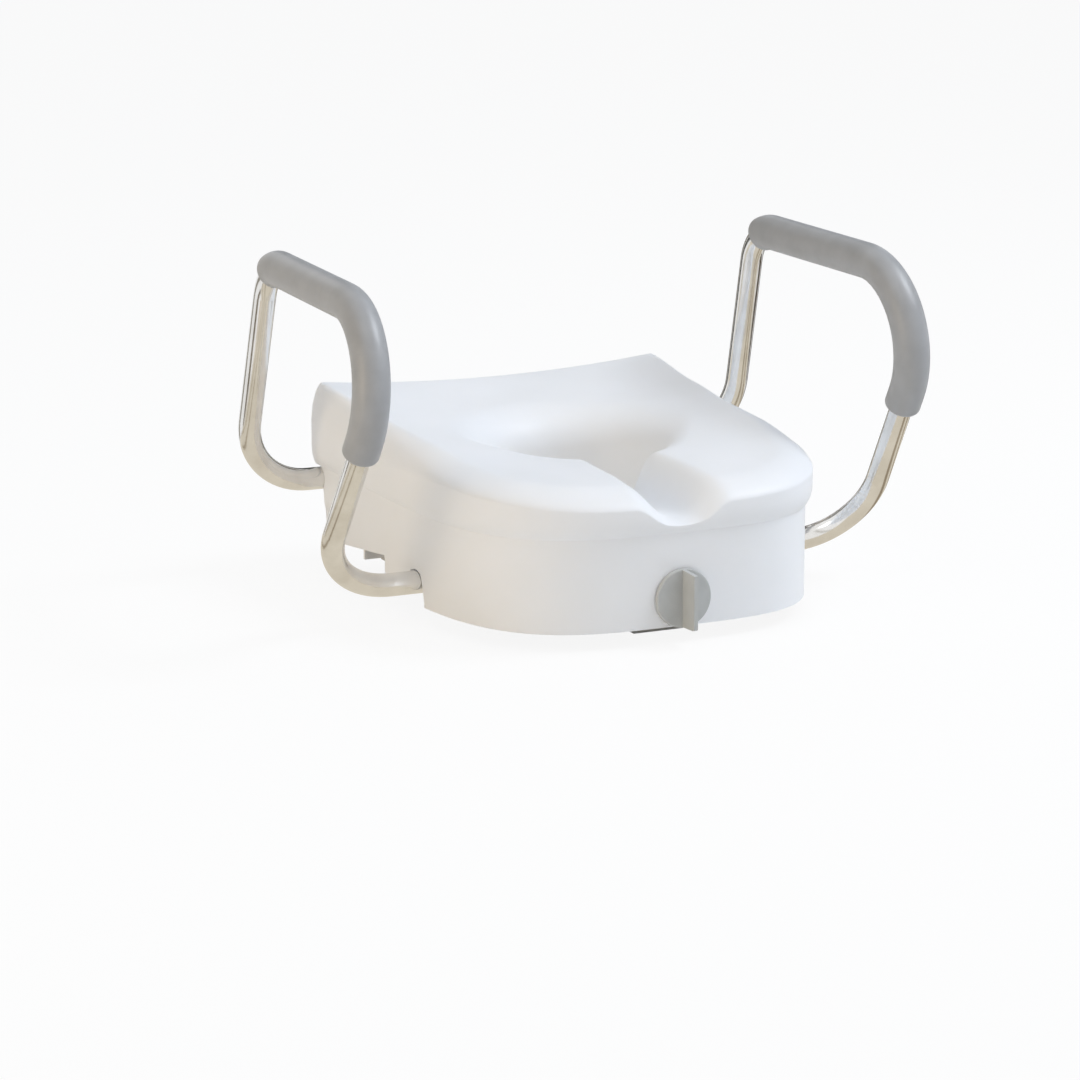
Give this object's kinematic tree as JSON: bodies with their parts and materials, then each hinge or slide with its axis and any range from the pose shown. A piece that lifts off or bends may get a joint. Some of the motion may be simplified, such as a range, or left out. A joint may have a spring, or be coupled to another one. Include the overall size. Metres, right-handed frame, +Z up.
{
  "type": "raised toilet seat",
  "caption": "Raised toilet seat with bent-tube armrests, foam grips, a contoured top with a front dip, and a dial-driven front clamp for the bowl's rim.",
  "frame": {"origin": "centre of the footprint of the whole part on the ground it stands on, under the middle of its bounding box", "axes": "+Z up, X across the seat with +X towards the armrest on the left of a seated user, -Y to the front, where the dial is"},
  "size_m": [0.6012, 0.4609, 0.337],
  "materials": {
    "seat_plastic": "white moulded polyethylene, satin, with soft rounded edges",
    "tube_aluminium": "bright polished and anodised tube",
    "grip_foam": "mid-grey closed-cell foam with a smooth matte skin",
    "plug_plastic": "dark grey moulded plug",
    "saddle_plastic": "light grey moulded nylon",
    "screw_steel": "bright zinc-plated steel",
    "pad_rubber": "dark grey soft rubber",
    "dial_plastic": "mid-grey moulded plastic, satin"
  },
  "bodies": {
    "seat": {"seat_shell": "seat_plastic", "left_front_saddle": "saddle_plastic", "right_front_saddle": "saddle_plastic", "left_front_saddle_screws": "screw_steel", "right_front_saddle_screws": "screw_steel", "left_rear_saddle": "saddle_plastic", "right_rear_saddle": "saddle_plastic", "left_rear_saddle_screws": "screw_steel", "right_rear_saddle_screws": "screw_steel", "left_front_pad": "pad_rubber", "right_front_pad": "pad_rubber", "left_rear_pad": "pad_rubber", "right_rear_pad": "pad_rubber", "left_rear_lug": "saddle_plastic", "right_rear_lug": "saddle_plastic", "left_rear_lug_screws": "screw_steel", "right_rear_lug_screws": "screw_steel"},
    "left_arm": {"left_arm_tube": "tube_aluminium", "left_grip": "grip_foam", "left_front_plug": "plug_plastic", "left_rear_plug": "plug_plastic"},
    "left_lock": {"left_lock_screw": "screw_steel", "left_lock_knob": "dial_plastic"},
    "right_arm": {"right_arm_tube": "tube_aluminium", "right_grip": "grip_foam", "right_front_plug": "plug_plastic", "right_rear_plug": "plug_plastic"},
    "right_lock": {"right_lock_screw": "screw_steel", "right_lock_knob": "dial_plastic"},
    "dial": {"dial": "dial_plastic", "spindle": "screw_steel", "spindle_washer": "screw_steel", "spindle_collar": "screw_steel"},
    "clamp": {"clamp_bracket": "saddle_plastic", "clamp_nut": "screw_steel", "clamp_rubber": "pad_rubber"}
  },
  "joints": [
    {"name": "left_arm_slide", "type": "slide", "parent": "seat", "child": "left_arm", "axis": [-1, 0, 0], "range_m": [0, 0.025]},
    {"name": "left_lock_turn", "type": "hinge", "parent": "seat", "child": "left_lock", "pos_m": [-0.146, 0.2165, 0.0555], "axis": [0, 0, 1], "range_deg": [-360, 360]},
    {"name": "right_arm_slide", "type": "slide", "parent": "seat", "child": "right_arm", "axis": [1, 0, 0], "range_m": [0, 0.025]},
    {"name": "right_lock_turn", "type": "hinge", "parent": "seat", "child": "right_lock", "pos_m": [0.146, 0.2165, 0.0555], "axis": [0, 0, 1], "range_deg": [-360, 360]},
    {"name": "dial_turn", "type": "hinge", "parent": "seat", "child": "dial", "pos_m": [0, -0.202, 0.043], "axis": [0, -1, 0], "range_deg": [0, 720]},
    {"name": "clamp_slide", "type": "slide", "parent": "seat", "child": "clamp", "axis": [0, 1, 0], "range_m": [0, 0.016]}
  ],
  "couplings": [
    {"joint": "clamp_slide", "follows": "dial_turn", "m_per_rad": 0.0012732}
  ]
}
